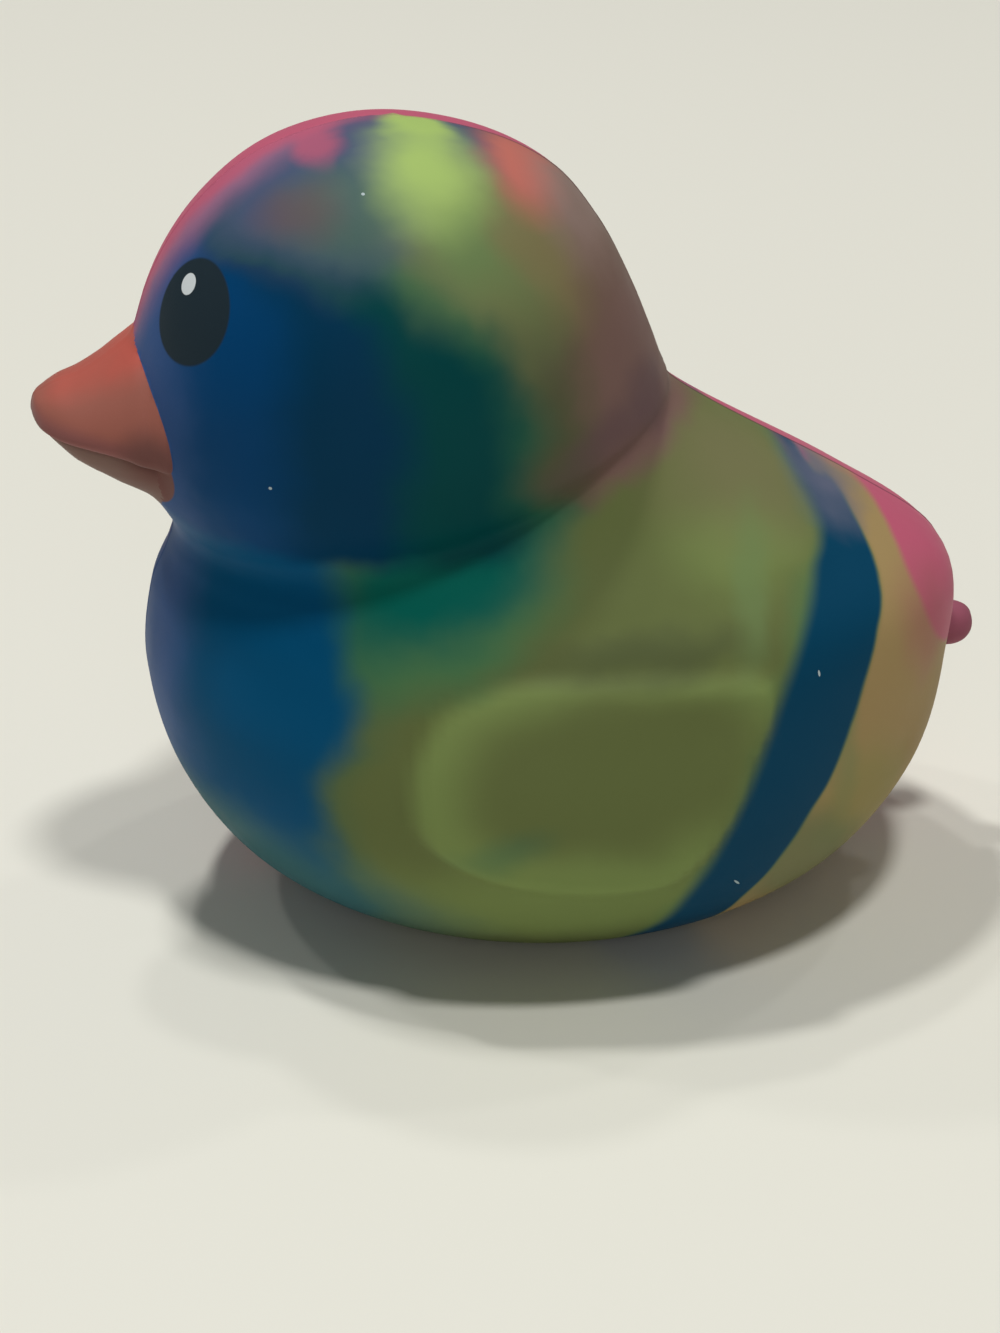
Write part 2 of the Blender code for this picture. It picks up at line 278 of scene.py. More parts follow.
# Where the surface runs on softly, in millimetres: at the crease, twice over in front of the chin, and at
# the root of the bill. Each reach has its own rounds of smoothing.
CREASE_REACHES = (6.5, 5.0, 3.5, 2.0)
CREASE_ROUNDS = 9
CHIN_FRONT = -24
BROW = (0, -57.0, 80.0)
BROW_REACHES = (7.0, 5.0, 3.0)
BROW_ROUNDS = 8
SMOOTHING = 0.5

# A wing's rim lies farther from the middle than this, in millimetres
RIM_SIDE = 20

# Prints on both sides, in millimetres and degrees: dye, middle, half sizes across and up, the way it faces,
# roll. Each is projected onto the skin along that way. The knob's own colour is laid on as a print too.
EYE_FACING = (0.443, -0.787, 0.428)
PRINT_DEPTH = 12
PRINT_EDGE = 0.03
PRINTS = (
    # Painted shade in the corner of the mouth, laid on the skin as a print
    ("bill_corner", (15, -56.4, 66.5), (3.9, 5.3), (1, 0, 0), 0),
    ("knob", (0, 60.2, 32.6), (4.8, 5.0), (1, 0, 0), 0),
    ("eye", (16.9, -48.7, 88.7), (7.5, 6.5), EYE_FACING, -15),
    ("glint", (14.6, -49.2, 91.6), (1.6, 1.35), EYE_FACING, -15),
    ("lint", (30, -41, 70), (0.2, 0.2), (1, 0, 0), 0),
    ("lint", (20, -28, 103), (0.2, 0.25), (0.5, 0, 0.87), 20),
    ("lint", (39, 17, 15.5), (0.15, 0.7), (1, 0, 0), 40),
    ("lint", (36, 27, 44), (0.15, 0.4), (1, 0, 0), 10),
)

# Boundaries sharper than this, in millimetres, and splashes less soft than this share keep still edges
CALM_EDGE = 2.0
CALM_SPLASH = 0.25

# Swirls of the dyes and the paint: grains to the metre, and how far they push a place in metres
BROAD_SWIRL = (45, 0.0070)
FINE_SWIRL = (160, 0.0030)
CALM_SWIRL = (90, 0.0012)
PAINT_SWIRL = (160, 0.0016)

# Meeting of the dyes in millimetres: softness at the crease, and half width where the two halves meet
CREASE_EDGE = 2.0
HALVES_EDGE = 0.4

# The line of the seam in millimetres: where it is full and where it ends across the duck, and the stretch
# along the duck where its strength grows
LINE_FULL = 0.1
LINE_END = 0.4
LINE_STRETCH = (-20, -5)
LINE_STRENGTHS = (0.12, 0.6)

# Unevenness of the rubber: grains to the metre, and how much each does
FINE_GRAINS = 2600
WAVE_GRAINS = 160
WAVE_SHARE = 3.0
SMEARS = {"scale": 70, "detail": 4.0, "roughness": 0.6}
SMEAR_RANGE = (0.35, 0.70)
SMEAR_CHANGE = (-0.06, 0.08)
BUMP_STRENGTH = 0.06
BUMP_DISTANCE = 0.0002
RUBBER_ROUGHNESS = 0.50
PAINT_ROUGHNESS = 0.46
REFLECTION = 0.05

# How much closer the vertices of a ring stand towards the seam
SEAM_CROWDING = 1.5


def length(name, default, description):
    """A size that the sidebar shows in the scene's units."""
    return FloatProperty(name=name, default=default, description=description, unit="LENGTH", precision=4)


def colour(name, red, green, blue, description):
    """A colour that the sidebar shows, written as it looks on screen from 0 to 255."""
    return FloatVectorProperty(
        name=name, description=description, subtype="COLOR", size=3, min=0, max=1,
        default=[linear(channel / 255) for channel in (red, green, blue)],
    )


def linear(channel):
    """The light that a screen value from 0 to 1 stands for."""
    return channel / 12.92 if channel <= 0.04045 else ((channel + 0.055) / 1.055) ** 2.4


class DUCK_PG_form(bpy.types.PropertyGroup):
    """Sizes of the moulding."""

    body_length: length("Body length", 0.113, "Breast to tail, without the knob")
    body_width: length("Body width", 0.090, "Across the belly, without the wing relief")
    neck_height: length("Neck height", NECK_HEIGHT, "Floor to the chin crease")
    head_length: length("Head length", 0.069, "Face to the back of the head")
    head_width: length("Head width", 0.068, "Across the cheeks")
    head_height: length("Head height", CROWN_HEIGHT - NECK_HEIGHT, "Chin crease to crown")
    head_forward: length("Head forward", 0.0232, "Middle of the head in front of the origin")
    beak_length: length("Beak length", 0.0150, "From the face to the tip")
    beak_width: length("Beak width", 0.034, "Across the root")
    beak_depth: length("Beak depth", 0.0208, "Top to bottom at the root")
    beak_inset: length("Beak inset", 0.0022, "From the face back to the bill's root section")
    beak_sink: length("Beak sink", 0.0110, "How far the loft runs back inside the head")
    mouth_height: length("Mouth height", 0.0122, "Line of the mouth above the chin crease")
    wing_length: length("Wing length", 0.050, "Front to back of a wing pad")
    wing_depth: length("Wing depth", 0.032, "Top to bottom of a wing pad")
    wing_back: length("Wing back", -0.0025, "Middle of the pad behind the origin")
    wing_height: length("Wing height", 0.0320, "Middle of the pad above the floor")
    wing_relief: length("Wing relief", 0.0016, "How far the rim stands out")
    wing_dish: length("Wing dish", 0.0009, "How far the middle sinks again")
    wing_edge: length("Wing edge", 0.0026, "Width of the soft step round the pad")
    wing_rim: length("Wing rim", 0.0100, "Width of the slope from the rim to the middle")
    knob_radius: length("Knob radius", 0.0033, "Radius of the tail knob")
    knob_reach: length("Knob reach", 0.0065, "From the tail's skin to the end of the knob")
    knob_height: length("Knob height", 0.0326, "Middle of the knob above the floor")
    knob_sink: length("Knob sink", 0.0060, "How far the knob's stem runs back inside the tail")
    seam_height: length("Seam height", 0.00010, "How far the parting seam stands out")
    seam_width: length("Seam width", 0.0003, "Half width of the parting seam")
    nub_height: length("Nub height", 0.0004, "How far a flash nub stands out of the seam")
    nub_radius: length("Nub radius", 0.0006, "Radius of a flash nub")
    ring_points: IntProperty(name="Ring points", default=320, description="Vertices round each ring")
    rows_per_ring: IntProperty(name="Rows", default=10, description="Rows of faces between two rings")
    bill_points: IntProperty(name="Bill points", default=128, description="Vertices round the bill")
    bill_rows: IntProperty(name="Bill rows", default=72, description="Rows of faces along the bill")
    knob_points: IntProperty(name="Knob points", default=48, description="Vertices round the tail knob")
    knob_rows: IntProperty(name="Knob rows", default=40, description="Rows of faces along the tail knob")


class DUCK_PG_dyes(bpy.types.PropertyGroup):
    """Colours of the rubber's dyes and of the paints, with some painted shade, highlight and sheen among
    them.
    """

    pink: colour("Pink", 186, 90, 114, "Far half, crown and rump")
    lilac: colour("Lilac", 150, 102, 130, "Forehead")
    rose: colour("Rose", 190, 110, 98, "Behind the crown")
    dusty: colour("Dusty rose", 148, 126, 118, "Back of the head")
    dusk: colour("Dusk", 162, 96, 100, "Tail")
    brown: colour("Brown", 118, 96, 82, "Ground of the head")
    mauve: colour("Mauve", 124, 96, 90, "Nape")
    khaki: colour("Khaki", 128, 118, 82, "Under the lime")
    bronze: colour("Bronze", 84, 90, 64, "Behind the cheek")
    plum: colour("Plum", 104, 80, 84, "Corner of the neck")
    moss: colour("Moss", 44, 96, 72, "Edge of the cheek")
    ocean: colour("Ocean", 2, 68, 70, "Rear of the cheek")
    deep: colour("Deep blue", 2, 54, 84, "Middle of the cheek")
    blue: colour("Blue", 2, 62, 108, "Cheek")
    violet: colour("Violet blue", 56, 84, 134, "Beside the bill")
    slate: colour("Slate", 72, 84, 112, "Brow")
    jade: colour("Jade", 72, 98, 92, "Over the brow")
    soft_lime: colour("Soft lime", 110, 132, 84, "Round the lime")
    lime: colour("Lime", 162, 188, 106, "Patch under the crown")
    olive: colour("Olive", 102, 112, 66, "Ground of the body")
    # Light olive dye, which is also the colour of the painted highlight along the wings' rims
    light_olive: colour("Light olive", 124, 142, 82, "Rim of the wing and belly")
    breast: colour("Breast blue", 2, 78, 118, "Breast")
    # Painted sheen along the breast's front edge, in violet blue
    breast_violet: colour("Breast violet", 66, 96, 148, "Front of the breast")
    lagoon: colour("Lagoon", 2, 98, 86, "Edge of the breast")
    fern: colour("Fern", 74, 122, 80, "Shoulder")
    sea: colour("Sea green", 60, 104, 106, "Under the breast")
    band: colour("Band", 8, 64, 92, "Stripe in front of the tail")
    band_top: colour("Band top", 98, 102, 122, "Top of the stripe")
    pale: colour("Pale olive", 122, 118, 84, "Back behind the neck")
    # Painted shade over the wing's top edge, in dark olive
    shade: colour("Dark olive", 76, 83, 56, "Over the wing")
    mustard: colour("Mustard", 160, 136, 92, "Side of the tail")
    straw: colour("Straw", 150, 138, 86, "Under the tail")
    sage: colour("Sage", 96, 116, 82, "Belly behind the stripe")
    stripe: colour("Dull green", 120, 132, 88, "Beside the stripe")
    bill_side: colour("Bill", 150, 92, 80, "Paint on the side of the bill")
    bill_red: colour("Bill top", 180, 88, 76, "Paint on top of the bill")
    # Painted shade on the lip's lower rim, over the mouth
    bill_lip: colour("Lip", 136, 86, 83, "Paint over the mouth")
    # Paint under the mouth, darkened by painted shade where the lower bill faces down
    bill_under: colour("Under the bill", 124, 98, 90, "Paint under the mouth")
    # Painted shade in the corner of the mouth
    bill_corner: colour("Bill corner", 112, 75, 70, "Paint at the corner of the mouth")
    eye: colour("Eye", 33, 46, 54, "Printed eye")
    glint: colour("Glint", 205, 212, 214, "Printed glint in the eye")
    knob: colour("Knob", 148, 84, 100, "Tail knob")
    lint: colour("Lint", 176, 190, 192, "Specks of lint on the skin")
    seam: colour("Seam", 70, 62, 66, "Line where the two halves of the mould met")


class DUCK_PG_view(bpy.types.PropertyGroup):
    """The camera and the light."""

    azimuth: FloatProperty(name="Azimuth", default=81.5, description="Degrees round from the beak")
    down: FloatProperty(name="Down", default=25.5, description="Degrees the camera looks down")
    distance: length("Distance", 0.314, "Camera to the point it looks at")
    aim: FloatVectorProperty(
        name="Aim", default=(0.0, -0.0085, 0.030), subtype="XYZ", unit="LENGTH",
        description="Point looked at",
    )
    lens: FloatProperty(name="Lens", default=59.4, description="Focal length in mm on a 36 mm long side")
    lamp: FloatProperty(name="Lamp", default=1.0, description="Strength of the lamps", min=0)
    lamp_distance: length("Lamp distance", 5.0, "From the duck to each lamp")
    world: FloatProperty(
        name="World", default=0.10, min=0, description="Strength of the light from all round",
    )
    floor_reach: length("Floor reach", 9.0, "From the middle of the floor to its edges")
    floor: colour("Floor", 226, 224, 212, "Pale counter top")


def blend(before, start, end, after, share):
    """A smooth value between start and end, led by the values on either side (Catmull-Rom)."""
    return 0.5 * (
        2 * start
        + (end - before) * share
        + (2 * before - 5 * start + 4 * end - after) * share ** 2
        + (3 * start - before - 3 * end + after) * share ** 3
    )


def smooth_step(share):
    """0 below 0, 1 above 1 and a soft rise between."""
    share = min(max(share, 0.0), 1.0)
    return share * share * (3 - 2 * share)


def along(stations, place):
    """The station at a place between 0 and 1 along a padded list, whose first and last rows only lead."""
    spans = len(stations) - 3
    position = place * spans
    first = min(int(position), spans - 1)
    rows = zip(*stations[first:first + 4])
    return [blend(*values, position - first) for values in rows]


def mirrored(ring):
    """The ring as it runs on past a pole, with front and rear changed over."""
    front, front_rise, rear, rear_rise, half_width, droop = ring
    return rear, rear_rise, front, front_rise, -half_width, droop


def body_stations(form):
    """The duck's rings in metres, padded with the mirror image of the rings next to each pole."""
    rings = []
    for (front, front_rise), (rear, rear_rise), half_width, droop in BODY_SHARES:
        rings.append((
            front * form.body_length, front_rise * form.neck_height,
            rear * form.body_length, rear_rise * form.neck_height,
            half_width * form.body_width / 2, droop * form.neck_height,
        ))
    for (front, front_rise), (rear, rear_rise), half_width, droop in HEAD_SHARES:
        rings.append((
            front * form.head_length - form.head_forward, form.neck_height + front_rise * form.head_height,
            rear * form.head_length - form.head_forward, form.neck_height + rear_rise * form.head_height,
            half_width * form.head_width / 2, droop * form.head_height,
        ))
    return [mirrored(rings[1])] + rings + [mirrored(rings[-2])]


def wing_reach(angle):
    """Share of the wing pad's half size that its outline reaches at an angle in degrees."""
    count = len(WING_SHARES)
    for index, (start, _) in enumerate(WING_SHARES):
        end = WING_SHARES[(index + 1) % count][0] or 360
        if start <= angle <= end:
            leads = [WING_SHARES[(index + step) % count][1] for step in (-1, 0, 1, 2)]
            return blend(*leads, (angle - start) / (end - start))
    raise ValueError(f"no wing outline at {angle} degrees")


def inside_wing(form, y, z):
    """How far a place on the duck's side lies inside the wing pad's outline."""
    back, up = y - form.wing_back, z - form.wing_height
    angle = math.degrees(math.atan2(up, back)) % 360
    turn = math.radians(angle)
    half_length, half_depth = form.wing_length / 2, form.wing_depth / 2
    half_size = 1 / math.hypot(math.cos(turn) / half_length, math.sin(turn) / half_depth)
    return wing_reach(angle) * half_size - math.hypot(back, up)


def wing_relief(form, y, z):
    """How far the skin stands out at a place on the duck's side: a raised rim round a dished middle."""
    inside = inside_wing(form, y, z)
    rim = form.wing_relief * smooth_step(inside / form.wing_edge)
    return rim - form.wing_dish * smooth_step((inside - form.wing_edge) / form.wing_rim)


def ring_turn(index, count):
    """Angle of a vertex round its ring: the vertices crowd towards the seam, at the front and the rear."""
    quarter = count // 4
    quadrant, step = divmod(index, quarter)
    if quadrant % 2:
        return (quadrant + 1 - (1 - step / quarter) ** SEAM_CROWDING) * math.pi / 2
    return (quadrant + (step / quarter) ** SEAM_CROWDING) * math.pi / 2


def body_point(form, stations, place, turn):
    """A point of the skin: place 0 is the middle of the flat spot and 1 the crown, turn 0 is the front."""
    front, front_rise, rear, rear_rise, half_width, droop = along(stations, place)
    forward, side = math.cos(turn), math.sin(turn)
    y = (front + rear) / 2 + (front - rear) / 2 * forward
    z = (front_rise + rear_rise) / 2 + (front_rise - rear_rise) / 2 * forward - droop * side ** 2
    return half_width * side + math.copysign(wing_relief(form, y, z), side), y, max(z, 0.0)


def bill_stations(form):
    """The bill's sections in metres, padded at both ends."""
    mouth_level = form.neck_height + form.mouth_height
    root = where_it_crosses(front_outline(form), mouth_level) + form.beak_inset
    sections = []
    for share, half_width, top, mouth, bottom in BILL_SHARES:
        reach = -form.beak_sink if share is None else share * form.beak_length
        levels = [mouth_level + level * form.beak_depth for level in (top, mouth, bottom)]
        sections.append((root - reach, half_width * form.beak_width / 2, *levels))
    behind = sections[1]
    over_tip = (behind[0], -behind[1], *behind[:1:-1])
    return [over_tip] + sections + [sections[-1]]


def front_outline(form):
    """The rings' front ends, as places along Y and heights."""
    return [(front, rise) for front, rise, _, _, _, _ in body_stations(form)[1:-1]]


def rear_outline(form):
    """The rings' rear ends, as places along Y and heights."""
    return [(rear, rise) for _, _, rear, rise, _, _ in body_stations(form)[1:-1]]


def where_it_crosses(outline, height):
    """Where an outline crosses a height, on a straight line between two of its points."""
    for (y, low), (next_y, high) in zip(outline, outline[1:]):
        if low <= height < high:
            return y + (next_y - y) * (height - low) / (high - low)
    raise ValueError(f"no skin at a height of {height}")


def bill_point(stations, place, share):
    """A point of the bill: place 0 is the tip, share runs from 0 to 1 round the section from its top."""
    y, half_width, top, mouth, bottom = along(stations, place)
    side = 1 if share <= 0.5 else -1
    next_to_top, next_to_bottom = BILL_OUTLINE_SHARES[1], BILL_OUTLINE_SHARES[-2]
    over_top, over_bottom = [(-across, level) for across, level in (next_to_top, next_to_bottom)]
    outline = [over_top, *BILL_OUTLINE_SHARES, over_bottom]
    across, level = along(outline, 2 * share if side > 0 else 2 - 2 * share)
    height = (top - mouth) if level > 0 else (mouth - bottom)
    return side * across * half_width, y, mouth + level * height


def knob_point(form, place, turn):
    """A point of the tail knob, which is turned about a line along Y."""
    outline = [(-KNOB_SHARES[1][0], -KNOB_SHARES[1][1])] + list(KNOB_SHARES)
    outline.append((2 - KNOB_SHARES[-2][0], -KNOB_SHARES[-2][1]))
    distance, radius = along(outline, place)
    tail = where_it_crosses(rear_outline(form), form.knob_height)
    y = tail - form.knob_sink + distance * (form.knob_sink + form.knob_reach)
    reach = radius * form.knob_radius
    return reach * math.cos(turn), y, form.knob_height + reach * math.sin(turn)


def shaped_ball(name, around, rows, point):
    """A sphere whose rings of vertices are moved by point(place, index round the ring)."""
    shape = bmesh.new()
    bmesh.ops.create_uvsphere(shape, u_segments=around, v_segments=rows, radius=1.0)
    for vertex in shape.verts:
        x, y, z = vertex.co
        row = round(math.acos(max(-1.0, min(1.0, -z))) / math.pi * rows)
        index = round(math.atan2(y, x) / math.tau * around) % around
        vertex.co = point(row / rows, index)
    bmesh.ops.recalc_face_normals(shape, faces=shape.faces)
    mesh = bpy.data.meshes.new(name)
    shape.to_mesh(mesh)
    shape.free()
    piece = bpy.data.objects.new(name, mesh)
    bpy.context.scene.collection.objects.link(piece)
    return piece


def join(target, piece):
    """Unite a piece with the target for good."""
    union = target.modifiers.new("join", "BOOLEAN")
    union.operation = "UNION"
    union.solver = "EXACT"
    union.material_mode = "TRANSFER"
    union.object = piece
    graph = bpy.context.evaluated_depsgraph_get()
    mesh = bpy.data.meshes.new_from_object(target.evaluated_get(graph))
    target.modifiers.remove(union)
    target.data = mesh
    bpy.data.objects.remove(piece)


class Wiring:
    """One node tree, with short calls that add nodes and join them."""

    def __init__(self, tree):
        """Wire up this tree."""
        self.tree = tree

    def add(self, kind, inputs=None, **settings):
        """A new node. Each input is a number or colour, or a socket to join it to."""
        node = self.tree.nodes.new(kind)
        for name, value in settings.items():
            setattr(node, name, value)
        for key, value in (inputs or {}).items():
            socket = node.inputs[key]
            if isinstance(value, bpy.types.NodeSocket):
                self.tree.links.new(value, socket)
            else:
                socket.default_value = value
        return node

    def math(self, operation, *values, clamp=False):
        """A number worked out from numbers."""
        node = self.add("ShaderNodeMath", dict(enumerate(values)), operation=operation, use_clamp=clamp)
        return node.outputs[0]

    def vector(self, operation, *values):
        """A vector, or its length, worked out from vectors."""
        node = self.add("ShaderNodeVectorMath", dict(enumerate(values)), operation=operation)
        return node.outputs["Value" if operation == "LENGTH" else "Vector"]

    def axes(self, place):
        """The place's X, Y and Z."""
        return self.add("ShaderNodeSeparateXYZ", {"Vector": place}).outputs

    def remap(self, value, start, end, low=0.0, high=1.0, soft=True):
        """The value, taken from start..end to low..high."""
        ranges = {"Value": value, "From Min": start, "From Max": end, "To Min": low, "To Max": high}
        node = self.add("ShaderNodeMapRange", ranges, interpolation_type="SMOOTHSTEP" if soft else "LINEAR")
        return node.outputs["Result"]

    def mix(self, share, under, over):
        """A colour between under and over."""
        node = self.add("ShaderNodeMix", {0: share, 6: under, 7: over}, data_type="RGBA")
        return node.outputs[2]

    def noise(self, place, scale, detail=2.0, roughness=0.5):
        """Noise on a place in metres, with about this many grains to the metre."""
        inputs = {"Vector": place, "Scale": scale, "Detail": detail, "Roughness": roughness}
        return self.add("ShaderNodeTexNoise", inputs)


def node_group(name, inputs, outputs):
    """A group with named sockets, given as (name, kind, default), and its wiring and end nodes."""
    tree = bpy.data.node_groups.new(name, "ShaderNodeTree")
    for label, kind, default in inputs:
        socket = tree.interface.new_socket(label, in_out="INPUT", socket_type=kind)
        if default is not None:
            socket.default_value = default
    for label, kind in outputs:
        tree.interface.new_socket(label, in_out="OUTPUT", socket_type=kind)
    wiring = Wiring(tree)
    return tree, wiring, wiring.add("NodeGroupInput").outputs, wiring.add("NodeGroupOutput").inputs


def splash_group():
    """A soft-edged splash of one dye over another, shaped as a turned ellipsoid."""
    tree, wiring, given, result = node_group(
        "dye splash",
        (
            ("Place", "NodeSocketVector", None), ("Under", "NodeSocketColor", None),
            ("Dye", "NodeSocketColor", None), ("Middle", "NodeSocketVector", None),
            ("Turn", "NodeSocketVector", None), ("Reach", "NodeSocketVector", (0.01, 0.01, 0.01)),
            ("Softness", "NodeSocketFloat", 0.5), ("Strength", "NodeSocketFloat", 1.0),
        ),
        (("Colour", "NodeSocketColor"),),
    )
    mapping = {
        "Vector": given["Place"], "Location": given["Middle"],
        "Rotation": given["Turn"], "Scale": given["Reach"],
    }
    local = wiring.add("ShaderNodeMapping", mapping, vector_type="TEXTURE").outputs["Vector"]
    distance = wiring.vector("LENGTH", local)
    outer = wiring.math("ADD", 1.0, given["Softness"])
    inner = wiring.math("SUBTRACT", 1.0, given["Softness"])
    inside = wiring.remap(distance, outer, inner)
    mask = wiring.math("MULTIPLY", inside, given["Strength"])
    wiring.tree.links.new(wiring.mix(mask, given["Under"], given["Dye"]), result["Colour"])
    return tree


def grain_group():
    """Fine unevenness of soft rubber: a bump height and a change of roughness."""
    tree, wiring, given, result = node_group(
        "rubber grain",
        (("Place", "NodeSocketVector", None), ("Roughness", "NodeSocketFloat", 0.5)),
        (("Height", "NodeSocketFloat"), ("Roughness", "NodeSocketFloat")),
    )
    fine = wiring.noise(given["Place"], FINE_GRAINS).outputs["Fac"]
    waves = wiring.noise(given["Place"], WAVE_GRAINS).outputs["Fac"]
    smears = wiring.noise(given["Place"], **SMEARS).outputs["Fac"]
    height = wiring.math("MULTIPLY_ADD", waves, WAVE_SHARE, fine)
    rougher = wiring.remap(smears, *SMEAR_RANGE, *SMEAR_CHANGE, soft=False)
    wiring.tree.links.new(height, result["Height"])
    wiring.tree.links.new(wiring.math("ADD", given["Roughness"], rougher, clamp=True), result["Roughness"])
    return tree


def group_named(name, make):
    """The node group of this name, made if it isn't there yet."""
    return bpy.data.node_groups.get(name) or make()


def portion(value, axis):
    """Where a value in millimetres lies on the covered stretch of an axis, from 0 to 1."""
    start, end = SPANS[axis]
    return (value - start) / (end - start)


class Dyeing:
    """Builds the layers of dye in one material, each over the last."""

    def __init__(self, wiring, dyes, place, calm_place):
        """Read the soft layers at a swirled place and the sharp ones at a calmer one."""
        self.wiring = wiring
        self.dyes = dyes
        self.place = place
        self.calm = calm_place
        self.axes = wiring.axes(place)
        self.calm_axes = wiring.axes(calm_place)
        self.splash = group_named("dye splash", splash_group)

    def dye(self, name):
        """The colour of a dye, with its alpha."""
        return (*getattr(self.dyes, name), 1)

    def past(self, points, run, across, softness):
        """1 beyond a boundary that runs along one axis, as measured along the other, with a soft change."""
        wiring = self.wiring
        run_start, run_end = SPANS[run]
        across_start, across_end = SPANS[across]
        axes = self.calm_axes if softness < CALM_EDGE else self.axes
        share = wiring.remap(axes[run], run_start * MM, run_end * MM, soft=False)
        curve = wiring.add("ShaderNodeFloatCurve", {"Value": share})
        line = curve.mapping.curves[0]
        places = [(portion(along_run, run), portion(beside, across)) for along_run, beside in points]
        line.points[0].location = (0, places[0][1])
        line.points[-1].location = (1, places[-1][1])
        for spot in places:
            line.points.new(*spot)
        curve.mapping.update()
        edge = wiring.remap(curve.outputs["Value"], 0, 1, across_start * MM, across_end * MM, soft=False)
        beyond = wiring.math("SUBTRACT", axes[across], edge)
        return wiring.remap(beyond, -softness * MM, softness * MM)

    def layer(self, under, row):
        """The colour after one row of dye is laid over the colour under it."""
        kind, name, *values = row
        wiring = self.wiring
        if kind == "splash":
            middle, reach, turn, softness, strength = values
            inputs = {
                "Place": self.place if softness > CALM_SPLASH else self.calm,
                "Under": under, "Dye": self.dye(name),
                "Middle": [value * MM for value in middle], "Reach": [value * MM for value in reach],
                "Turn": (math.radians(turn), 0, 0), "Softness": softness, "Strength": strength,
            }
            return wiring.add("ShaderNodeGroup", inputs, node_tree=self.splash).outputs["Colour"]
        if kind == "between":
            front, front_softness, rear, rear_softness, strength = values
            mask = strength
            if front:
                mask = wiring.math("MULTIPLY", mask, self.past(FRONTS[front], "Z", "Y", front_softness))
            if rear:
                ahead = wiring.math("SUBTRACT", 1.0, self.past(FRONTS[rear], "Z", "Y", rear_softness))
                mask = wiring.math("MULTIPLY", mask, ahead)
        # Painted highlight along the wings' raised rims
        elif kind == "rim":
            rim = wiring.add("ShaderNodeAttribute", attribute_name=RIM_HIGHLIGHT_ATTRIBUTE).outputs["Fac"]
            mask = wiring.math("MULTIPLY", rim, values[0])
        else:
            level, softness, strength = values
            over = self.past(LEVELS[level], "Y", "Z", softness)
            if kind == "below":
                over = wiring.math("SUBTRACT", 1.0, over)
            mask = wiring.math("MULTIPLY", strength, over)
        return wiring.mix(mask, under, self.dye(name))

    def layers(self, ground, rows):
        """The colour after all the rows are laid over a ground of one dye."""
        colour_so_far = self.dye(ground)
        for row in rows:
            colour_so_far = self.layer(colour_so_far, row)
        return colour_so_far


def rubber_material(name, roughness):
    """A satin rubber, its wiring, its shader and the place to read patterns from."""
    material = bpy.data.materials.new(name)
    material.use_nodes = True
    wiring = Wiring(material.node_tree)
    shader = material.node_tree.nodes["Principled BSDF"]
    shader.inputs["Specular IOR Level"].default_value = REFLECTION
    place = wiring.add("ShaderNodeTexCoord").outputs["Object"]
    uneven = group_named("rubber grain", grain_group)
    grain = wiring.add("ShaderNodeGroup", {"Place": place, "Roughness": roughness}, node_tree=uneven)
    relief = {"Height": grain.outputs["Height"], "Strength": BUMP_STRENGTH, "Distance": BUMP_DISTANCE}
    bump = wiring.add("ShaderNodeBump", relief)
    material.node_tree.links.new(bump.outputs["Normal"], shader.inputs["Normal"])
    material.node_tree.links.new(grain.outputs["Roughness"], shader.inputs["Roughness"])
    return material, wiring, shader, place


def stirred(wiring, place, grains, amount):
    """The place, pushed about by noise as dye runs before it sets."""
    push = wiring.noise(place, grains).outputs["Color"]
    centred = wiring.vector("SUBTRACT", push, (0.5, 0.5, 0.5))
    scaled = wiring.vector("MULTIPLY", centred, (amount, amount, amount))
    return wiring.vector("ADD", place, scaled)


def mirrored_place(wiring, place):
    """The place with the duck's right half laid over its left one."""
    axes = wiring.axes(place)
    across = wiring.math("ABSOLUTE", axes["X"])
    mirrored_axes = {"X": across, "Y": axes["Y"], "Z": axes["Z"]}
    return wiring.add("ShaderNodeCombineXYZ", mirrored_axes).outputs["Vector"]


def print_turn(facing, roll):
    """Turn of a print that faces some way, rolled by some degrees."""
    facing = Vector(facing).normalized()
    across = Vector((0, 0, 1)).cross(facing).normalized()
    across.rotate(Quaternion(facing, math.radians(roll)))
    return Matrix((across, facing.cross(across), facing)).transposed().to_euler()


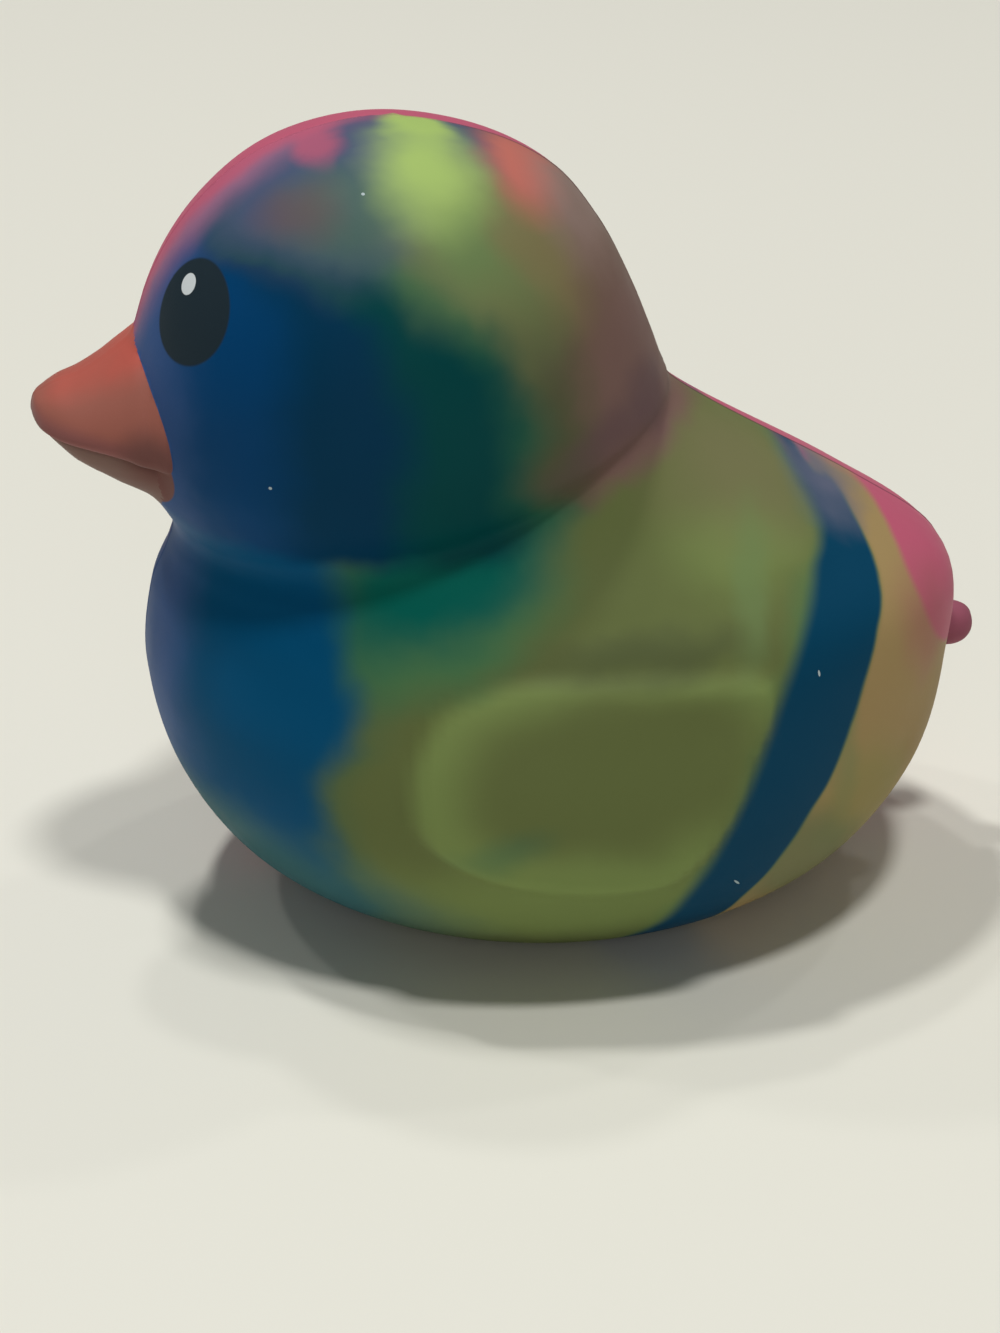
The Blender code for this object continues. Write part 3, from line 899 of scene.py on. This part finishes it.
def dyed_rubber(dyes):
    """The swirled skin, with its printed eyes."""
    material, wiring, shader, place = rubber_material("dyed rubber", RUBBER_ROUGHNESS)
    swirled = stirred(wiring, stirred(wiring, place, *BROAD_SWIRL), *FINE_SWIRL)
    calm = stirred(wiring, place, *CALM_SWIRL)
    dyeing = Dyeing(wiring, dyes, swirled, calm)
    on_head = dyeing.past(LEVELS["crease"], "Y", "Z", CREASE_EDGE)
    near_body, near_head = dyeing.layers("olive", BODY_LAYERS), dyeing.layers("brown", HEAD_LAYERS)
    near = wiring.mix(on_head, near_body, near_head)
    far_body, far_head = dyeing.layers("pink", FAR_BODY_LAYERS), dyeing.layers("pink", FAR_HEAD_LAYERS)
    far = wiring.mix(on_head, far_body, far_head)
    axes = wiring.axes(place)
    across = axes["X"]
    skin = wiring.mix(wiring.remap(across, -HALVES_EDGE * MM, HALVES_EDGE * MM), far, near)
    on_seam = wiring.remap(wiring.math("ABSOLUTE", across), LINE_END * MM, LINE_FULL * MM)
    grows_from, grows_to = LINE_STRETCH
    seam_strength = wiring.remap(axes["Y"], grows_from * MM, grows_to * MM, *LINE_STRENGTHS)
    skin = wiring.mix(wiring.math("MULTIPLY", on_seam, seam_strength), skin, dyeing.dye("seam"))
    mirror = mirrored_place(wiring, place)
    for name, middle, (half_across, half_up), facing, roll in PRINTS:
        inputs = {
            "Place": mirror, "Under": skin, "Dye": dyeing.dye(name),
            "Middle": [value * MM for value in middle], "Turn": print_turn(facing, roll),
            "Reach": (half_across * MM, half_up * MM, PRINT_DEPTH * MM),
            "Softness": PRINT_EDGE, "Strength": 1.0,
        }
        skin = wiring.add("ShaderNodeGroup", inputs, node_tree=dyeing.splash).outputs["Colour"]
    material.node_tree.links.new(skin, shader.inputs["Base Color"])
    return material


def beak_paint(dyes):
    """Sprayed paint on the bill, with painted shade along the lip, under the mouth and at its corner."""
    material, wiring, shader, place = rubber_material("beak paint", PAINT_ROUGHNESS)
    dyeing = Dyeing(wiring, dyes, stirred(wiring, place, *PAINT_SWIRL), place)
    paint = dyeing.layers("bill_side", BILL_LAYERS)
    material.node_tree.links.new(paint, shader.inputs["Base Color"])
    return material


class DUCK_OT_skin(bpy.types.Operator):
    """Build the duck's skin with its bill and tail knob"""

    bl_idname = "duck.skin"
    bl_label = "Skin"

    def execute(self, context):
        form = context.scene.duck_form
        rubber = dyed_rubber(context.scene.duck_dyes)
        paint = beak_paint(context.scene.duck_dyes)
        rings = body_stations(form)
        count = form.ring_points
        skin = shaped_ball(
            "duck_skin", count, (len(rings) - 3) * form.rows_per_ring,
            lambda place, index: body_point(form, rings, place, ring_turn(index, count)),
        )
        skin.data.materials.append(rubber)
        sections = bill_stations(form)
        bill = shaped_ball(
            "bill", form.bill_points, form.bill_rows,
            lambda place, index: bill_point(sections, place, index / form.bill_points),
        )
        bill.data.materials.append(paint)
        join(skin, bill)
        knob = shaped_ball(
            "knob", form.knob_points, form.knob_rows,
            lambda place, index: knob_point(form, place, index / form.knob_points * math.tau),
        )
        knob.data.materials.append(rubber)
        join(skin, knob)
        finish_surface(skin.data, form)
        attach(skin, "root")
        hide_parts("duck")
        return {"FINISHED"}


def read_off(points, value):
    """The second number of a list of pairs at a value of the first, in straight steps."""
    for (start, low), (end, high) in zip(points, points[1:]):
        if value <= end:
            return low + (high - low) * max(0.0, (value - start) / (end - start))
    return points[-1][1]


def finish_surface(mesh, form):
    """Soften the crease and the brow, raise the seam, and mark the rims of the wings for their painted
    highlight.
    """
    shape = bmesh.new()
    shape.from_mesh(mesh)
    for reach in CREASE_REACHES:
        crease = [vertex for vertex in shape.verts if crease_distance(vertex.co) < reach * MM]
        soften(shape, crease, CREASE_ROUNDS)
        soften(shape, [vertex for vertex in crease if vertex.co.y < CHIN_FRONT * MM], CREASE_ROUNDS)
    for reach in BROW_REACHES:
        soften(shape, within(shape, BROW, reach), BROW_ROUNDS)
    raise_seam(shape, form)
    # The rims' mask, which places the painted highlight
    rims = shape.verts.layers.float.new(RIM_HIGHLIGHT_ATTRIBUTE)
    for vertex in shape.verts:
        if abs(vertex.co.x) > RIM_SIDE * MM:
            inside = inside_wing(form, vertex.co.y, vertex.co.z)
            sunk = smooth_step((inside - form.wing_edge) / form.wing_rim)
            vertex[rims] = smooth_step(inside / form.wing_edge) - sunk
    for face in shape.faces:
        face.smooth = True
    shape.to_mesh(mesh)
    shape.free()


def crease_distance(place):
    """Height between a place and the crease under the head."""
    return abs(place.z - read_off(LEVELS["crease"], place.y / MM) * MM)


def within(shape, middle, radius):
    """Vertices within a distance of a place in millimetres."""
    centre = Vector(middle) * MM
    return [vertex for vertex in shape.verts if (vertex.co - centre).length < radius * MM]


def soften(shape, vertices, rounds):
    """Smooth the vertices in some rounds."""
    axes = {"use_axis_x": True, "use_axis_y": True, "use_axis_z": True}
    for _ in range(rounds):
        bmesh.ops.smooth_vert(shape, verts=vertices, factor=SMOOTHING, **axes)


def raise_seam(shape, form):
    """Raise the parting seam, with a few flash nubs on it."""
    shape.normal_update()
    moves = []
    for vertex in shape.verts:
        if abs(vertex.co.x) < 2 * form.nub_radius and vertex.co.z > form.nub_radius:
            height = form.seam_height * (1 - smooth_step(abs(vertex.co.x) / form.seam_width))
            for nub in NUBS:
                away = (vertex.co - Vector(nub) * MM).length
                height += form.nub_height * (1 - smooth_step(away / form.nub_radius))
            moves.append((vertex, vertex.normal * height))
    for vertex, move in moves:
        vertex.co += move


class DUCK_OT_stage(bpy.types.Operator):
    """Set the floor, the lamps and the camera"""

    bl_idname = "duck.stage"
    bl_label = "Stage"

    def execute(self, context):
        view = context.scene.duck_view
        lay_floor(view)
        set_lamps(context, view)
        set_camera(context, view)
        context.scene.view_settings.view_transform = "Standard"
        return {"FINISHED"}


def lay_floor(view):
    """A pale counter top that keeps the duck's shadow."""
    shape = bmesh.new()
    bmesh.ops.create_grid(shape, x_segments=1, y_segments=1, size=view.floor_reach)
    mesh = bpy.data.meshes.new("floor")
    shape.to_mesh(mesh)
    shape.free()
    floor = bpy.data.objects.new("floor", mesh)
    bpy.context.scene.collection.objects.link(floor)
    material = bpy.data.materials.new("counter top")
    material.use_nodes = True
    shader = material.node_tree.nodes["Principled BSDF"]
    shader.inputs["Base Color"].default_value = (*view.floor, 1)
    shader.inputs["Roughness"].default_value = FLOOR_ROUGHNESS
    floor.data.materials.append(material)


def way(turn, rise):
    """The way that lies some angle round from the beak and some angle above the floor."""
    return Vector((math.sin(turn) * math.cos(rise), -math.cos(turn) * math.cos(rise), math.sin(rise)))


def set_lamps(context, view):
    """Small ceiling lamps, the light that a pale wall gives back, and a little light from all round."""
    reach = math.pi * view.lamp_distance
    for name, azimuth, height, share, size in LAMPS:
        turn, rise = math.radians(azimuth), math.radians(height)
        towards = way(turn, rise)
        light = bpy.data.lights.new(name, "AREA")
        light.shape = "DISK"
        light.size = size
        light.energy = share * view.lamp * reach ** 2 / math.sin(rise)
        lamp = bpy.data.objects.new(name, light)
        lamp.location = Vector(LAMP_AIM) + towards * view.lamp_distance
        lamp.rotation_euler = towards.to_track_quat("Z", "Y").to_euler()
        context.scene.collection.objects.link(lamp)
    world = bpy.data.worlds.new("room")
    world.use_nodes = True
    background = world.node_tree.nodes["Background"]
    background.inputs["Color"].default_value = ROOM_COLOUR
    background.inputs["Strength"].default_value = view.world
    context.scene.world = world


def set_camera(context, view):
    """Look at the duck from its left side and a little in front, from above."""
    turn, down = math.radians(view.azimuth), math.radians(view.down)
    away = way(turn, down)
    data = bpy.data.cameras.new("photo view")
    data.lens = view.lens
    data.sensor_width = SENSOR
    data.clip_start = NEAREST * MM
    camera = bpy.data.objects.new("photo view", data)
    camera.location = Vector(view.aim) + away * view.distance
    camera.rotation_euler = (-away).to_track_quat("-Z", "Y").to_euler()
    context.scene.collection.objects.link(camera)
    context.scene.camera = camera


class DUCK_PT_panel(bpy.types.Panel):
    """Lists the duck's pieces and sizes in the sidebar."""

    bl_label = "Rubber duck"
    bl_idname = "DUCK_PT_panel"
    bl_space_type = "VIEW_3D"
    bl_region_type = "UI"
    bl_category = "Duck"

    def draw(self, context):
        layout = self.layout
        for operator in OPERATORS:
            layout.operator(operator.bl_idname)
        for group in (context.scene.duck_form, context.scene.duck_dyes, context.scene.duck_view):
            box = layout.box()
            for name in group.bl_rna.properties.keys():
                if name not in ("rna_type", "name"):
                    box.prop(group, name)


OPERATORS = (DUCK_OT_skin, DUCK_OT_stage)
CLASSES = (DUCK_PG_form, DUCK_PG_dyes, DUCK_PG_view, *OPERATORS, DUCK_PT_panel)


def register():
    """Add the classes and the scene's settings."""
    for item in CLASSES:
        bpy.utils.register_class(item)
    bpy.types.Scene.duck_form = PointerProperty(type=DUCK_PG_form)
    bpy.types.Scene.duck_dyes = PointerProperty(type=DUCK_PG_dyes)
    bpy.types.Scene.duck_view = PointerProperty(type=DUCK_PG_view)


def unregister():
    """Take the classes and the scene's settings away again."""
    del bpy.types.Scene.duck_view
    del bpy.types.Scene.duck_dyes
    del bpy.types.Scene.duck_form
    for item in reversed(CLASSES):
        bpy.utils.unregister_class(item)


def main():
    """Build the duck and its stage."""
    register()
    bpy.ops.duck.skin()
    bpy.ops.duck.stage()


if __name__ == "__main__":
    main()
